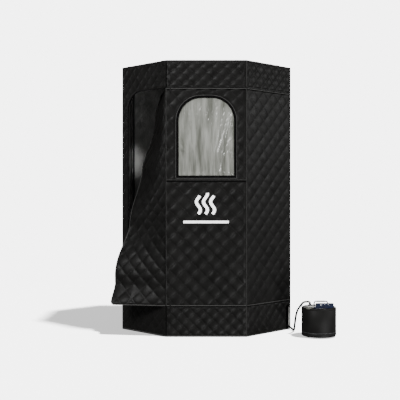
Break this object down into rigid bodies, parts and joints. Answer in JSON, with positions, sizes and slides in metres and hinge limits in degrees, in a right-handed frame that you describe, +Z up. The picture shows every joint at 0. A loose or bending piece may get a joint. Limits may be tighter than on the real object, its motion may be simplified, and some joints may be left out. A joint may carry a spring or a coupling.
{
  "type": "portable steam sauna",
  "caption": "Tall eight-sided quilted steam cabin on a tube frame, with a wraparound zip door and window, and a separate round steam generator joined by a hose.",
  "frame": {"origin": "centre of the cabin's floor mat on its underside, which stands on the floor", "axes": "+Z up, -Y the way the door faces, +X to the right of someone facing the door, where the steam generator stands"},
  "size_m": [1.4591, 1.2365, 1.8],
  "materials": {
    "quilt": "black quilted polyester, diamond stitched, soft sheen",
    "mat": "dark woven floor mat",
    "film": "silvery translucent window film, wrinkled",
    "piping": "dark grey corner piping",
    "tube": "pale grey coated tube",
    "zip": "dark zip tape, teeth and pull",
    "black_plastic": "black moulded plastic, fine texture",
    "base_plastic": "black moulded plastic",
    "rubber": "black rubber",
    "steel": "stainless steel",
    "panel": "dark blue glossy touch panel",
    "button": "pale blue-grey buttons",
    "silver": "silver plastic",
    "grey_plastic": "mid grey moulded plastic",
    "board": "green circuit board",
    "hose": "black flexible hose"
  },
  "bodies": {
    "root": {"band_front": "quilt", "band_front_right": "quilt", "boiler_pot": "steel", "bottom_rail_ring": "tube", "carry_handle": "grey_plastic", "control_board": "board", "control_panel": "panel", "doorway_panel": "quilt", "floor_mat": "mat", "generator_base": "base_plastic", "generator_foot_1": "rubber", "generator_foot_2": "rubber", "generator_foot_3": "rubber", "generator_housing": "black_plastic", "generator_lid": "black_plastic", "heating_element": "steel", "hose_collar": "hose", "hose_port_binding": "piping", "lid_gasket": "rubber", "outlet_elbow": "grey_plastic", "outlet_flange": "grey_plastic", "post_1": "tube", "post_2": "tube", "post_3": "tube", "post_4": "tube", "post_5": "tube", "post_6": "tube", "post_7": "tube", "post_8": "tube", "power_inlet": "black_plastic", "roof_panel": "quilt", "skirt_front": "quilt", "skirt_front_right": "quilt", "steam_hose": "hose", "steam_outlet": "grey_plastic", "top_rail_ring": "tube", "wall_back": "quilt", "wall_back_left": "quilt", "wall_back_right": "quilt", "wall_left": "quilt", "wall_right": "quilt", "zip_tape_lower": "zip", "zip_tape_upper": "zip"},
    "door_side": {"door_side_panel": "quilt"},
    "door_front": {"door_lower_panel": "quilt", "door_window_panel": "quilt", "window_film": "film"},
    "flap_middle": {"flap_corner_cord": "piping", "flap_section_2": "quilt"},
    "flap_low": {"flap_section_1": "quilt"},
    "flap_high": {"flap_section_3": "quilt"},
    "flap_top": {"flap_section_4": "quilt"},
    "slider_upper": {"zip_slider_upper": "zip"},
    "pull_upper": {"zip_pull_upper": "zip"},
    "slider_lower": {"zip_slider_lower": "zip"},
    "pull_lower": {"zip_pull_lower": "zip"},
    "button_1": {"button_1": "button"},
    "button_2": {"button_2": "button"},
    "button_3": {"button_3": "button"},
    "filler_cap": {"filler_cap": "silver"}
  },
  "joints": [
    {"name": "door_side_swing", "type": "hinge", "parent": "root", "child": "door_side", "pos_m": [0.578, -0.2615, 0.9], "axis": [0, 0, 1], "range_deg": [0, 40]},
    {"name": "door_front_swing", "type": "hinge", "parent": "door_side", "child": "door_front", "pos_m": [0.2615, -0.578, 0.9], "axis": [0, 0, 1], "range_deg": [0, 95]},
    {"name": "door_flap_swing", "type": "hinge", "parent": "door_front", "child": "flap_middle", "pos_m": [-0.2615, -0.578, 0.9], "axis": [0, 0, 1], "range_deg": [0, 75]},
    {"name": "door_flap_close", "type": "hinge", "parent": "flap_middle", "child": "flap_low", "pos_m": [-0.2615, -0.578, 0.9], "axis": [0, 0, 1], "range_deg": [-24, 0]},
    {"name": "flap_high_turn", "type": "hinge", "parent": "flap_middle", "child": "flap_high", "pos_m": [-0.2615, -0.578, 0.9], "axis": [0, 0, 1], "range_deg": [0, 16.01]},
    {"name": "flap_top_turn", "type": "hinge", "parent": "flap_high", "child": "flap_top", "pos_m": [-0.2615, -0.578, 0.9], "axis": [0, 0, 1], "range_deg": [0, 15.01]},
    {"name": "zip_upper_slide", "type": "slide", "parent": "door_front", "child": "slider_upper", "axis": [1, 0, 0], "range_m": [0, 0.47]},
    {"name": "zip_upper_pull_swing", "type": "hinge", "parent": "slider_upper", "child": "pull_upper", "pos_m": [-0.235, -0.5842, 1.6115], "axis": [-1, 0, 0], "range_deg": [0, 100]},
    {"name": "zip_lower_slide", "type": "slide", "parent": "door_front", "child": "slider_lower", "axis": [1, 0, 0], "range_m": [0, 0.47]},
    {"name": "zip_lower_pull_swing", "type": "hinge", "parent": "slider_lower", "child": "pull_lower", "pos_m": [-0.235, -0.5842, 0.2068], "axis": [-1, 0, 0], "range_deg": [0, 100]},
    {"name": "button_1_press", "type": "slide", "parent": "root", "child": "button_1", "axis": [0, 0.361, -0.9326], "range_m": [0, 0.0015], "stiffness_N_per_m": 400, "springref_m": -0.0005},
    {"name": "button_2_press", "type": "slide", "parent": "root", "child": "button_2", "axis": [0, 0.361, -0.9326], "range_m": [0, 0.0015], "stiffness_N_per_m": 400, "springref_m": -0.0005},
    {"name": "button_3_press", "type": "slide", "parent": "root", "child": "button_3", "axis": [0, 0.361, -0.9326], "range_m": [0, 0.0015], "stiffness_N_per_m": 400, "springref_m": -0.0005},
    {"name": "filler_cap_turn", "type": "hinge", "parent": "root", "child": "filler_cap", "pos_m": [0.678, -0.598, 0.195], "axis": [0, 0, 1], "range_deg": [0, 90]}
  ],
  "couplings": [
    {"joint": "flap_high_turn", "follows": "door_flap_close", "ratio": -0.66667},
    {"joint": "flap_top_turn", "follows": "door_flap_close", "ratio": -0.625}
  ]
}
